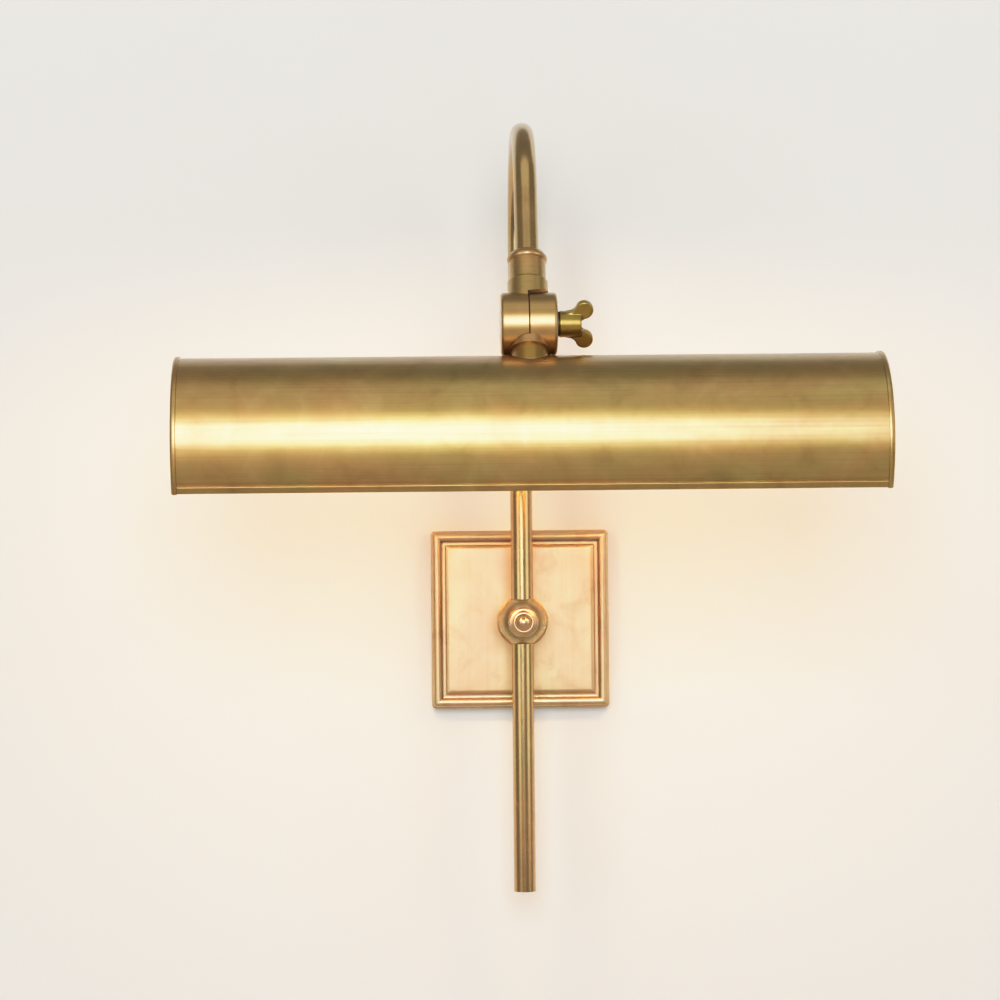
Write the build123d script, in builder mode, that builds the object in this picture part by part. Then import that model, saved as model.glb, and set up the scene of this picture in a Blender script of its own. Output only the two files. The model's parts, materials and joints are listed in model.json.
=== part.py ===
from build123d import *
from math import asin, cos, degrees, radians, sin, sqrt
import os

# Gooseneck picture light for a wall: a square backplate carries a clamp ball, a vertical rod slides
# and swivels in the ball, and the rod's bent end carries a half-round shade on a friction knuckle.
# The origin is on the wall, at the centre of the backplate. +X is right, +Y goes into the wall and
# +Z is up. Sizes are in millimetres and degrees.

# ---- Driving sizes ----------------------------------------------------------------------------

# Backplate, wall bracket and boss
plate_side = 98.5
plate_depth = 11.0
plate_sheet = 1.4
plate_border_step = 2.0
plate_bead = 3.8
plate_groove = 2.3
plate_panel_bevel = 1.5
plate_panel_bevel_height = 0.5
plate_base_height = 8.0
plate_panel_height = 9.4
plate_corner_radius = 2.2
bracket_length = 88.0
bracket_width = 26.0
bracket_sheet = 2.0
wall_slot_spacing = 66.0
wall_slot_width = 4.6
wall_slot_length = 14.0
cable_hole_radius = 5.0
earth_x = 20.0
earth_z = -9.0
earth_screw_radius = 1.5
earth_head_radius = 2.8
earth_head_height = 1.5
screw_slot_width = 0.6
screw_slot_depth = 0.5
boss_radius = 5.0
boss_bore_radius = 3.2
boss_flange_radius = 8.0
boss_flange_height = 1.5
boss_window_height = 3.4
boss_window_gap = 0.4
plate_nut_radius = 11.0
plate_nut_height = 4.0

# Terminal block and supply leads, inside the backplate
block_length = 16.0
block_width = 17.0
block_corner_radius = 1.0
block_from_boss = 4.0
block_front_gap = 0.4
terminal_pitch = 8.0
terminal_screw_radius = 1.6
terminal_screw_inset = 0.2
terminal_entry_radius = 1.3
supply_lead_radius = 0.8
supply_lead_pitch = 2.6
lead_in_block = 3.0
lead_past_block = 2.5
lead_before_boss = 1.0

# Clamp ball and its knob
rod_from_wall = 44.0
ball_radius = 14.0
ball_socket_depth = 6.0
ball_flat_depth = 1.0
stud_radius = 2.5
pad_radius = 3.2
pad_thickness = 2.0
pad_hollow = 1.0
knob_radius = 8.2
knob_rim = 5.0
knob_rim_round = 1.0
knob_shank_radius = 4.4
knob_shank = 2.6
knob_step_radius = 5.75
knob_step = 2.2
knob_step_round = 0.5
knob_button_radius = 4.4
knob_dome = 2.6

# Rod and gooseneck
tube_radius = 6.0
tube_wall = 1.2
rod_below_ball = 147.0
rod_above_ball = 203.0
bend_radius = 56.0
bend_angle = 158.0
bend_to_pivot = 75.1
sleeve_wall = 0.8
slide_up = 100.0
slide_down = 150.0
wire_slot_width = 4.4
end_plug_inset = 0.6
end_plug_length = 6.0

# Knuckle: two half barrels on a cross bolt
barrel_radius = 16.0
half_barrel = 13.95
friction_washer = 0.5
friction_washer_inset = 0.8
friction_washer_bore_gap = 0.4
barrel_rim = 1.8
collar_radius = 10.3
collar_waist_radius = 9.35
collar_gap = 1.8
collar_base = 5.2
collar_waist = 11.4
collar_bead = 3.4
collar_shoulder = 1.8
collar_rim_wall = 0.6
collar_bead_crown = 0.5
socket_depth = 16.0
neck_radius = 10.5
neck_past_barrel = 1.0
neck_angle = 31.0
foot_radius = 9.2
foot_in_neck = 4.0
foot_past_neck = 1.7
grub_radius = 2.0
grub_inset = 0.4
chamber_radius = 11.0
chamber_hub_radius = 5.6
chamber_depth = 8.0
lead_hole_radius = 2.0
bolt_radius = 3.0
bolt_head_radius = 5.2
bolt_head = 3.2
bolt_slot = 1.2
bolt_end_inset = 1.0
spring_washer = 1.0
spring_washer_inset = 0.5
spring_split = 0.8
spring_split_angle = 20.0
wing_hub_radius = 6.8
wing_hub_length = 11.0
wing_hub_taper = 3.0
wing_lobe_radius = 4.6
wing_lobe_height = 7.9
wing_lobe_reach = 12.5
wing_notch = 2.0
wing_shoulder = 1.1
wing_thickness = 4.6
wing_turn = 25.0
wing_edge_round = 0.9

# Shade
shade_radius = 43.0
shade_length = 356.0
shade_sheet = 1.0
foot_place = 87.5
shade_turn = 36.0
hem_height = 4.1
hem_stand = 0.8
cap_sheet = 0.8
cap_flange = 2.8
tail_radius = 5.0
tail_bore_radius = 2.8
tail_into_foot = 0.4
tail_bore_into_foot = 0.2
tail_past_nut = 1.0
saddle_washer_radius = 9.0
saddle_washer_height = 1.5
tail_nut_flats = 16.0
tail_nut = 4.0

# Lamps
lamp_drop = 27.0
lamp_bracket_sheet = 1.5
lamp_bracket_half_length = 30.0
lamp_bracket_width = 20.0
holder_radius = 13.0
holder_mouth_radius = 11.4
holder_length = 32.0
holder_base = 16.0
holder_pocket_radius = 4.0
holder_pocket_depth = 4.0
sleeve_shell = 0.6
lamp_cap_radius = 7.0
lamp_cap_length = 22.0
bulb_radius = 12.5
bulb_length = 96.0
bulb_glass = 0.8
bulb_neck = 10.0
tube_lead_radius = 1.1
lamp_lead_radius = 0.65
lamp_lead_spread = 1.1
lamp_lead_lift = 2.4
lamp_lead_bend = 8.0
lead_end_inset = 1.0
tube_lead_spread = 1.32
holder_screw_radius = 1.5
holder_screw_length = 8.0
holder_floor = 10.0
holder_screw_head = 1.8
holder_screw_head_height = 1.8
holder_screw_pitch_share = 1.1
socket_shell_inset = 1.0
lamp_cap_seat = 2.0
contact_plate = 1.0
contact_radius = 3.15
contact_pin_inset = 1.5
lamp_tip_radius = 2.45
contact_pin_radius = 1.2

# Fits
turning_gap = 0.05
loose_gap = 0.1
thread_gap = 0.05
sweep_gap = 0.45

# ---- Places worked out from the driving sizes --------------------------------------------------

rod_y = -rod_from_wall
tube_bore_radius = tube_radius - tube_wall
bend_centre_y = rod_y - bend_radius
bend_end_y = bend_centre_y + bend_radius * cos(radians(bend_angle))
bend_end_z = rod_above_ball + bend_radius * sin(radians(bend_angle))
lean = 180.0 - bend_angle
pivot_y = bend_end_y - bend_to_pivot * sin(radians(lean))
pivot_z = bend_end_z - bend_to_pivot * cos(radians(lean))
pivot = Vector(0, pivot_y, pivot_z)
collar_direction = Vector(0, sin(radians(lean)), cos(radians(lean)))
neck_direction = Vector(0, -sin(radians(neck_angle)), -cos(radians(neck_angle)))
collar_bottom = barrel_radius + collar_gap
collar_top = collar_bottom + collar_base + collar_waist + collar_bead + collar_shoulder
tube_end = collar_top - socket_depth
inner_face = friction_washer / 2 + loose_gap
outer_face = inner_face + half_barrel

neck_length = barrel_radius + neck_past_barrel
foot_seat = neck_length - foot_in_neck
foot_to_shade = neck_length + foot_past_neck
foot_y = pivot_y + foot_to_shade * neck_direction.Y
foot_z = pivot_z + foot_to_shade * neck_direction.Z
shade_y = foot_y + shade_radius * cos(radians(foot_place))
shade_z = foot_z - shade_radius * sin(radians(foot_place))
shade_bore_radius = shade_radius - shade_sheet
tail_y = foot_y
tail_top = foot_z
washer_bottom = shade_z + sqrt(shade_bore_radius**2 - (abs(tail_y - shade_y) + saddle_washer_radius) ** 2)
washer_bottom = washer_bottom - saddle_washer_height
bracket_bottom = washer_bottom - lamp_bracket_sheet
tail_nut_bottom = bracket_bottom - tail_nut
tail_bottom = tail_nut_bottom - tail_past_nut
lamp_y = tail_y
lamp_z = foot_z - lamp_drop

# Planes: across the knuckle's axis, along the collar, along the neck, and the axes to revolve about
collar_plane = Plane(origin=pivot, x_dir=(1, 0, 0), z_dir=collar_direction)
collar_profile_plane = Plane(origin=pivot, x_dir=(1, 0, 0), z_dir=(0, -collar_direction.Z, collar_direction.Y))
collar_axis = Axis(pivot, collar_direction)
neck_plane = Plane(origin=pivot, x_dir=(1, 0, 0), z_dir=neck_direction)
pivot_plane = Plane(origin=pivot, x_dir=(0, 1, 0), z_dir=(1, 0, 0))
wing_plane = Plane(origin=pivot, x_dir=(1, 0, 0), z_dir=(0, -cos(radians(wing_turn)), -sin(radians(wing_turn))))
ball_profile_plane = Plane(origin=(0, rod_y, 0), x_dir=(0, -1, 0), z_dir=(1, 0, 0))
knob_axis = Axis((0, rod_y, 0), (0, -1, 0))
grub_height = collar_bottom + collar_base + collar_waist / 2
grub_origin = pivot + collar_direction * grub_height
grub_plane = Plane(origin=grub_origin, x_dir=(1, 0, 0), z_dir=(0, collar_direction.Z, -collar_direction.Y))
shade_plane = Plane(origin=(0, shade_y, shade_z), x_dir=(0, 1, 0), z_dir=(1, 0, 0))
lamp_plane = Plane(origin=(0, lamp_y, lamp_z), x_dir=(0, 1, 0), z_dir=(1, 0, 0))


def wall_plane(depth):
    """A plane facing the room, the given depth in front of the wall."""
    return Plane(origin=(0, -depth, 0), x_dir=(1, 0, 0), z_dir=(0, -1, 0))


def save(piece, name):
    """Label one finished piece and write its file."""
    piece.part.label = name
    export_step(piece.part, "parts/" + name + ".step")


os.makedirs("parts", exist_ok=True)

# ---- Base: backplate, bracket, boss and ball ---------------------------------------------------

bead_side = plate_side - 2 * plate_border_step
groove_side = bead_side - 2 * plate_bead
panel_side = groove_side - 2 * plate_groove
pocket_side = panel_side - 2 * plate_sheet
bevel_start = plate_panel_height - plate_panel_bevel_height

with BuildPart() as backplate:
    with BuildSketch(wall_plane(0)):
        RectangleRounded(plate_side, plate_side, plate_corner_radius)
    extrude(amount=plate_base_height)
    fillet(backplate.edges().group_by(Axis.Y)[0], plate_border_step * 0.6)
    with BuildSketch(wall_plane(plate_base_height)):
        RectangleRounded(bead_side, bead_side, plate_corner_radius / 2)
        Rectangle(groove_side, groove_side, mode=Mode.SUBTRACT)
    extrude(amount=plate_depth - plate_base_height)
    fillet(backplate.edges().group_by(Axis.Y)[0], plate_bead * 0.45)
    with BuildSketch(wall_plane(plate_base_height)):
        Rectangle(panel_side, panel_side)
    extrude(amount=bevel_start - plate_base_height)
    with BuildSketch(wall_plane(bevel_start)):
        Rectangle(panel_side, panel_side)
    with BuildSketch(wall_plane(plate_panel_height)):
        Rectangle(panel_side - 2 * plate_panel_bevel, panel_side - 2 * plate_panel_bevel)
    loft()
    with BuildSketch(wall_plane(0)):
        Rectangle(plate_side - 2 * plate_sheet, plate_side - 2 * plate_sheet)
    extrude(amount=plate_base_height - plate_sheet, mode=Mode.SUBTRACT)
    with BuildSketch(wall_plane(0)):
        Rectangle(pocket_side, pocket_side)
    extrude(amount=plate_panel_height - plate_sheet, mode=Mode.SUBTRACT)
    with BuildSketch(wall_plane(0)):
        Circle(boss_radius + loose_gap)
    extrude(amount=plate_depth, mode=Mode.SUBTRACT)
save(backplate, "backplate")

with BuildPart() as wall_bracket:
    with BuildSketch(wall_plane(0)):
        RectangleRounded(bracket_length, bracket_width, bracket_width / 6)
        Circle(boss_radius, mode=Mode.SUBTRACT)
        with Locations((-wall_slot_spacing / 2, 0), (wall_slot_spacing / 2, 0)):
            SlotOverall(wall_slot_length, wall_slot_width, mode=Mode.SUBTRACT)
        with Locations((wall_slot_spacing / 4, 0)):
            Circle(cable_hole_radius, mode=Mode.SUBTRACT)
        with Locations((earth_x, earth_z)):
            Circle(earth_screw_radius, mode=Mode.SUBTRACT)
    extrude(amount=bracket_sheet)
save(wall_bracket, "wall_bracket")

ball_back = rod_from_wall - ball_radius
boss_length = ball_back + ball_socket_depth
window_start = bracket_sheet + boss_flange_height + boss_window_gap
block_front = plate_panel_height - plate_sheet - block_front_gap

with BuildPart() as boss_stem:
    with BuildSketch(wall_plane(0)):
        Circle(boss_radius)
    extrude(amount=boss_length)
    with BuildSketch(wall_plane(bracket_sheet)):
        Circle(boss_flange_radius)
    extrude(amount=boss_flange_height)
    with BuildSketch(wall_plane(0)):
        Circle(boss_bore_radius)
    extrude(amount=boss_length, mode=Mode.SUBTRACT)
    with BuildSketch(wall_plane(window_start)):
        with Locations((-boss_radius, 0)):
            Rectangle(2 * boss_radius, boss_bore_radius * 2)
    extrude(amount=boss_window_height, mode=Mode.SUBTRACT)
save(boss_stem, "boss_stem")

with BuildPart() as plate_nut:
    with BuildSketch(wall_plane(plate_panel_height)):
        Circle(plate_nut_radius)
        Circle(boss_radius + thread_gap, mode=Mode.SUBTRACT)
    extrude(amount=plate_nut_height)
    chamfer(plate_nut.edges().group_by(Axis.Y)[0].sort_by(SortBy.RADIUS)[-1], plate_nut_height / 4)
save(plate_nut, "plate_nut")

sleeve_radius = tube_radius + turning_gap + sleeve_wall
ball_bore_radius = sleeve_radius + turning_gap
sleeve_half_height = sqrt(ball_radius**2 - ball_bore_radius**2)
ball_front = ball_radius - ball_flat_depth
pad_back = sleeve_radius - pad_hollow
pad_front = sleeve_radius + loose_gap + pad_thickness

with BuildPart() as ball:
    with Locations((0, rod_y, 0)):
        Sphere(ball_radius)
        Cylinder(ball_bore_radius, 2 * ball_radius, mode=Mode.SUBTRACT)
    with BuildSketch(wall_plane(rod_from_wall + ball_front)):
        Rectangle(2 * ball_radius, 2 * ball_radius)
    extrude(amount=ball_flat_depth, mode=Mode.SUBTRACT)
    with BuildSketch(wall_plane(ball_back)):
        Circle(boss_radius + thread_gap)
    extrude(amount=ball_socket_depth, mode=Mode.SUBTRACT)
    with BuildSketch(wall_plane(ball_back)):
        Circle(boss_bore_radius)
    extrude(amount=ball_radius, mode=Mode.SUBTRACT)
    with BuildSketch(wall_plane(rod_from_wall)):
        Circle(pad_radius + thread_gap)
    extrude(amount=pad_front, mode=Mode.SUBTRACT)
    with BuildSketch(wall_plane(rod_from_wall)):
        Circle(stud_radius + thread_gap)
    extrude(amount=ball_radius, mode=Mode.SUBTRACT)
save(ball, "ball")

with BuildPart() as pressure_pad:
    with BuildSketch(wall_plane(rod_from_wall + pad_back)):
        Circle(pad_radius)
    extrude(amount=pad_front - pad_back)
    with Locations((0, rod_y, 0)):
        Cylinder(sleeve_radius + loose_gap, 2 * ball_radius, mode=Mode.SUBTRACT)
save(pressure_pad, "pressure_pad")

# Terminal block with four screws beside the boss, and its two leads into the boss
block_right = -boss_flange_radius - block_from_boss
block_centre_x = block_right - block_length / 2
lead_depth = window_start + boss_window_height / 2

with BuildPart() as terminal_block:
    with BuildSketch(wall_plane(bracket_sheet)):
        with Locations((block_centre_x, 0)):
            RectangleRounded(block_length, block_width, block_corner_radius)
    extrude(amount=block_front - bracket_sheet)
    with BuildSketch(wall_plane(lead_depth)):
        with Locations((block_centre_x, 0)):
            with GridLocations(terminal_pitch, terminal_pitch, 2, 2):
                Circle(terminal_screw_radius + loose_gap)
    extrude(amount=block_front - lead_depth, mode=Mode.SUBTRACT)
    with BuildSketch(Plane(origin=(block_right, -lead_depth, 0), x_dir=(0, 0, 1), z_dir=(-1, 0, 0))):
        with Locations((terminal_pitch / 2, 0), (-terminal_pitch / 2, 0)):
            Circle(terminal_entry_radius)
    extrude(amount=block_length, mode=Mode.SUBTRACT)
save(terminal_block, "terminal_block")

screw_back = lead_depth + supply_lead_radius + loose_gap
screw_front = block_front - terminal_screw_inset

with BuildPart() as terminal_screws:
    with BuildSketch(wall_plane(screw_back)):
        with Locations((block_centre_x, 0)):
            with GridLocations(terminal_pitch, terminal_pitch, 2, 2):
                Circle(terminal_screw_radius)
    extrude(amount=screw_front - screw_back)
    with BuildSketch(wall_plane(screw_front - screw_slot_depth)):
        with Locations((block_centre_x, 0)):
            with GridLocations(terminal_pitch, terminal_pitch, 2, 2):
                Rectangle(3 * terminal_screw_radius, screw_slot_width)
    extrude(amount=screw_slot_depth, mode=Mode.SUBTRACT)
save(terminal_screws, "terminal_screws")

with BuildPart() as earth_screw:
    with BuildSketch(wall_plane(0)):
        with Locations((earth_x, earth_z)):
            Circle(earth_screw_radius)
    extrude(amount=bracket_sheet)
    with BuildSketch(wall_plane(bracket_sheet)):
        with Locations((earth_x, earth_z)):
            Circle(earth_head_radius)
    extrude(amount=earth_head_height)
    with BuildSketch(wall_plane(bracket_sheet + earth_head_height - screw_slot_depth)):
        with Locations((earth_x, earth_z)):
            Rectangle(2 * earth_head_radius, screw_slot_width)
    extrude(amount=screw_slot_depth, mode=Mode.SUBTRACT)
save(earth_screw, "earth_screw")

with BuildPart() as supply_leads:
    for side in (-1, 1):
        bend_z = side * supply_lead_pitch / 2
        route = [
            (block_right - lead_in_block, -lead_depth, side * terminal_pitch / 2),
            (block_right + lead_past_block, -lead_depth, side * terminal_pitch / 2),
            (-boss_radius - lead_before_boss, -lead_depth, bend_z),
            (0, -lead_depth, bend_z),
            (0, -boss_length, bend_z),
        ]
        with BuildLine() as lead_path:
            FilletPolyline(*route, radius=2 * supply_lead_radius)
        lead_start = Plane(origin=route[0], x_dir=(0, 1, 0), z_dir=(1, 0, 0))
        with BuildSketch(lead_start):
            Circle(supply_lead_radius)
        sweep(path=lead_path.line)
save(supply_leads, "supply_leads")

# ---- Clamp knob and its stud -------------------------------------------------------------------

stud_back = rod_from_wall + pad_front
knob_back = rod_from_wall + ball_front + loose_gap
knob_step_start = knob_back + knob_shank + knob_rim
knob_front = knob_step_start + knob_step + knob_dome
dome_radius = (knob_button_radius**2 + knob_dome**2) / (2 * knob_dome)
dome_angle = degrees(asin(knob_button_radius / dome_radius))

with BuildPart() as clamp_stud:
    with BuildSketch(wall_plane(stud_back)):
        Circle(stud_radius)
    extrude(amount=knob_step_start - stud_back)
save(clamp_stud, "clamp_stud")

with BuildPart() as clamp_knob:
    with BuildSketch(ball_profile_plane):
        with BuildLine():
            reach = knob_back - rod_from_wall
            rim_back = reach + knob_shank
            rim_front = rim_back + knob_rim
            step_front = rim_front + knob_step
            button_front = knob_front - rod_from_wall
            rim_edge = knob_radius - knob_rim_round
            Polyline(
                (reach, 0),
                (reach, knob_shank_radius),
                (rim_back, knob_shank_radius),
                (rim_back, rim_edge),
            )
            ThreePointArc(
                (rim_back, rim_edge),
                ((rim_back + rim_front) / 2, knob_radius),
                (rim_front, rim_edge),
            )
            Polyline(
                (rim_front, rim_edge),
                (rim_front, knob_step_radius + knob_step_round),
                (rim_front + knob_step_round, knob_step_radius),
                (step_front - knob_step_round, knob_step_radius),
                (step_front, knob_step_radius - knob_step_round),
                (step_front, knob_button_radius),
            )
            CenterArc((button_front - dome_radius, 0), dome_radius, 0, dome_angle)
            Line((button_front, 0), (reach, 0))
        make_face()
    revolve(axis=knob_axis)
    with BuildSketch(wall_plane(knob_back)):
        Circle(stud_radius)
    extrude(amount=knob_step_start - knob_back, mode=Mode.SUBTRACT)
save(clamp_knob, "clamp_knob")

# ---- Guide sleeve: it swivels in the ball, and the rod slides in it -----------------------------

with BuildPart() as guide_sleeve:
    with Locations((0, rod_y, 0)):
        Cylinder(sleeve_radius, 2 * sleeve_half_height)
        Cylinder(tube_radius + turning_gap, 2 * sleeve_half_height, mode=Mode.SUBTRACT)
        with Locations((0, sleeve_radius, 0)):
            Box(wire_slot_width, 2 * sleeve_radius, 2 * sleeve_half_height, mode=Mode.SUBTRACT)
save(guide_sleeve, "guide_sleeve")

# ---- Rod: gooseneck tube, its leads and the upper half of the knuckle ----------------------------

slot_bottom = -slide_up - 2 * wire_slot_width
slot_top = slide_down + 2 * wire_slot_width
tube_run = bend_to_pivot - tube_end
tube_end_y = bend_end_y - tube_run * collar_direction.Y
tube_end_z = bend_end_z - tube_run * collar_direction.Z


def tube_route(start_z, end_shift):
    """The tube's centre line from a height on the rod: up, over the bend and down to the collar."""
    end_y = tube_end_y - end_shift * collar_direction.Y
    end_z = tube_end_z - end_shift * collar_direction.Z
    Line((rod_y, start_z), (rod_y, rod_above_ball))
    CenterArc((bend_centre_y, rod_above_ball), bend_radius, 0, bend_angle)
    Line((bend_end_y, bend_end_z), (end_y, end_z))


with BuildPart() as gooseneck:
    with BuildLine(Plane.YZ) as tube_path:
        tube_route(-rod_below_ball, 0)
    with BuildSketch(Plane.XY.offset(-rod_below_ball)):
        with Locations((0, rod_y)):
            Circle(tube_radius)
            Circle(tube_bore_radius, mode=Mode.SUBTRACT)
    sweep(path=tube_path.line)
    with BuildSketch(wall_plane(rod_from_wall)):
        with Locations((0, (slot_bottom + slot_top) / 2)):
            SlotOverall(slot_top - slot_bottom, wire_slot_width, rotation=90)
    extrude(amount=-2 * tube_radius, mode=Mode.SUBTRACT)
save(gooseneck, "gooseneck")

with BuildPart() as tube_leads:
    with BuildLine(Plane.YZ) as lead_line:
        tube_route(0, -lead_end_inset)
    with BuildSketch(Plane.XY):
        with Locations((-tube_lead_spread, rod_y), (tube_lead_spread, rod_y)):
            Circle(tube_lead_radius)
    sweep(path=lead_line.line)
save(tube_leads, "tube_leads")

with BuildPart() as rod_end_plug:
    with BuildSketch(Plane.XY.offset(end_plug_inset - rod_below_ball)):
        with Locations((0, rod_y)):
            Circle(tube_bore_radius)
    extrude(amount=end_plug_length)
save(rod_end_plug, "rod_end_plug")

with BuildPart() as upper_knuckle:
    with BuildSketch(pivot_plane.offset(-inner_face)):
        Circle(barrel_radius)
    extrude(amount=-half_barrel)
    fillet(upper_knuckle.edges().group_by(Axis.X)[0], barrel_rim)
    with BuildSketch(collar_plane.offset(barrel_radius / 2)):
        Circle(collar_radius)
    extrude(amount=collar_bottom - barrel_radius / 2)
    with BuildSketch(pivot_plane.offset(-inner_face)):
        Circle(barrel_radius + collar_gap)
    extrude(amount=2 * collar_radius, mode=Mode.SUBTRACT)
    with BuildSketch(collar_profile_plane):
        with BuildLine():
            base_top = collar_bottom + collar_base
            waist_top = base_top + collar_waist
            bead_top = waist_top + collar_bead
            rim_radius = tube_radius + collar_rim_wall
            step = collar_radius - collar_waist_radius
            Polyline(
                (0, collar_bottom),
                (collar_radius, collar_bottom),
                (collar_radius, base_top),
                (collar_waist_radius, base_top + step),
                (collar_waist_radius, waist_top),
            )
            ThreePointArc(
                (collar_waist_radius, waist_top),
                (collar_radius, (waist_top + bead_top) / 2),
                (collar_waist_radius, bead_top),
            )
            ThreePointArc(
                (collar_waist_radius, bead_top),
                (
                    (collar_waist_radius + rim_radius) / 2 + collar_bead_crown,
                    (bead_top + collar_top) / 2 + collar_bead_crown,
                ),
                (rim_radius, collar_top),
            )
            Polyline((rim_radius, collar_top), (0, collar_top), (0, collar_bottom))
        make_face()
    revolve(axis=collar_axis)
    with BuildSketch(collar_plane.offset(tube_end)):
        Circle(tube_radius)
    extrude(amount=2 * socket_depth, mode=Mode.SUBTRACT)
    with BuildSketch(pivot_plane.offset(-inner_face)):
        Circle(chamber_radius)
        Circle(chamber_hub_radius, mode=Mode.SUBTRACT)
    extrude(amount=-chamber_depth, mode=Mode.SUBTRACT)
    with BuildSketch(collar_plane.offset(chamber_radius - lead_hole_radius)):
        with Locations((-1.6 * lead_hole_radius, 0)):
            Circle(lead_hole_radius)
    extrude(amount=tube_end - chamber_radius + 2 * lead_hole_radius, mode=Mode.SUBTRACT)
    with BuildSketch(pivot_plane.offset(-outer_face)):
        Circle(bolt_radius)
    extrude(amount=outer_face, mode=Mode.SUBTRACT)
    with BuildSketch(pivot_plane.offset(-outer_face)):
        Circle(bolt_head_radius)
    extrude(amount=bolt_head, mode=Mode.SUBTRACT)
    with BuildSketch(grub_plane):
        Circle(grub_radius)
    extrude(amount=2 * collar_radius, mode=Mode.SUBTRACT)
save(upper_knuckle, "upper_knuckle")

with BuildPart() as collar_grub_screw:
    with BuildSketch(grub_plane.offset(tube_radius)):
        Circle(grub_radius)
        RegularPolygon(grub_radius / 2, 6, mode=Mode.SUBTRACT)
    extrude(amount=collar_waist_radius - tube_radius - grub_inset)
save(collar_grub_screw, "collar_grub_screw")

with BuildPart() as friction_ring:
    with BuildSketch(pivot_plane.offset(-friction_washer / 2)):
        Circle(barrel_radius - friction_washer_inset)
        Circle(chamber_radius + friction_washer_bore_gap, mode=Mode.SUBTRACT)
    extrude(amount=friction_washer)
save(friction_ring, "friction_ring")

washer_start = outer_face + loose_gap
wing_start = washer_start + spring_washer + loose_gap
wing_end = wing_start + wing_hub_length

with BuildPart() as pivot_bolt:
    with BuildSketch(pivot_plane.offset(-outer_face)):
        Circle(bolt_head_radius)
    extrude(amount=bolt_head)
    with BuildSketch(pivot_plane.offset(-outer_face)):
        Circle(bolt_radius)
    extrude(amount=outer_face + wing_end - bolt_end_inset)
    with BuildSketch(pivot_plane.offset(-outer_face)):
        Rectangle(bolt_slot, 2 * bolt_head_radius)
    extrude(amount=bolt_slot, mode=Mode.SUBTRACT)
save(pivot_bolt, "pivot_bolt")

with BuildPart() as spring_ring:
    with BuildSketch(pivot_plane.offset(washer_start)):
        Circle(wing_hub_radius - spring_washer_inset)
        Circle(bolt_radius + turning_gap, mode=Mode.SUBTRACT)
        with Locations((0, wing_hub_radius)):
            Rectangle(spring_split, 2 * wing_hub_radius, rotation=spring_split_angle, mode=Mode.SUBTRACT)
    extrude(amount=spring_washer)
save(spring_ring, "spring_ring")

# ---- Wing nut ----------------------------------------------------------------------------------

lobe_x = wing_start + wing_lobe_reach
with BuildPart() as wing_nut:
    with BuildSketch(wing_plane):
        for side in (-1, 1):
            lobe_z = side * wing_lobe_height
            inner_edge = lobe_x - 0.84 * wing_lobe_radius
            with BuildLine():
                Polyline(
                    (wing_start + 0.3 * wing_hub_length, 0),
                    (wing_start + 0.3 * wing_hub_length, side * wing_hub_radius * 0.96),
                    (wing_start + 0.42 * wing_hub_length, side * wing_hub_radius),
                )
                ThreePointArc(
                    (wing_start + 0.42 * wing_hub_length, side * wing_hub_radius),
                    (wing_start + 0.66 * wing_hub_length, side * (wing_hub_radius + wing_shoulder)),
                    (inner_edge, lobe_z + side * 0.54 * wing_lobe_radius),
                )
                ThreePointArc(
                    (inner_edge, lobe_z + side * 0.54 * wing_lobe_radius),
                    (lobe_x + 0.8 * wing_lobe_radius, lobe_z + side * 0.6 * wing_lobe_radius),
                    (lobe_x, lobe_z - side * wing_lobe_radius),
                )
                Polyline(
                    (lobe_x, lobe_z - side * wing_lobe_radius),
                    (wing_end, side * wing_notch),
                    (wing_end, 0),
                    (wing_start + 0.3 * wing_hub_length, 0),
                )
            make_face()
    extrude(amount=wing_thickness / 2, both=True)
    lobe_rims = wing_nut.edges().filter_by(GeomType.CIRCLE).filter_by(lambda e: e.length > 2 * wing_lobe_radius)
    fillet(lobe_rims, wing_edge_round)
    with BuildSketch(pivot_plane.offset(wing_start)):
        Circle(wing_hub_radius)
    extrude(amount=wing_hub_length, taper=wing_hub_taper)
    with BuildSketch(pivot_plane.offset(wing_start)):
        Circle(bolt_radius + thread_gap)
    extrude(amount=2 * wing_hub_length, mode=Mode.SUBTRACT)
save(wing_nut, "wing_nut")

# ---- Shade head: lower half of the knuckle, foot and shell ---------------------------------------

with BuildPart() as lower_knuckle:
    with BuildSketch(neck_plane):
        Circle(neck_radius)
    extrude(amount=neck_length)
    with BuildSketch(pivot_plane.offset(inner_face)):
        Circle(barrel_radius + sweep_gap)
    extrude(amount=-2 * neck_radius, mode=Mode.SUBTRACT)
    with BuildSketch(pivot_plane.offset(inner_face)):
        Circle(barrel_radius)
    extrude(amount=half_barrel)
    fillet(lower_knuckle.edges().group_by(Axis.X)[-1], barrel_rim)
    with BuildSketch(neck_plane.offset(foot_seat)):
        Circle(foot_radius)
    extrude(amount=neck_length, mode=Mode.SUBTRACT)
    with BuildSketch(pivot_plane.offset(inner_face)):
        Circle(chamber_radius)
        Circle(chamber_hub_radius, mode=Mode.SUBTRACT)
    extrude(amount=chamber_depth, mode=Mode.SUBTRACT)
    with BuildSketch(neck_plane.offset(chamber_radius - lead_hole_radius)):
        with Locations((1.6 * lead_hole_radius, 0)):
            Circle(lead_hole_radius)
    extrude(amount=neck_length, mode=Mode.SUBTRACT)
    with BuildSketch(pivot_plane):
        Circle(bolt_radius + turning_gap)
    extrude(amount=2 * outer_face, mode=Mode.SUBTRACT)
    with BuildSketch(shade_plane):
        Circle(shade_radius + loose_gap)
    extrude(amount=2 * neck_radius, both=True, mode=Mode.SUBTRACT)
save(lower_knuckle, "lower_knuckle")

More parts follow.
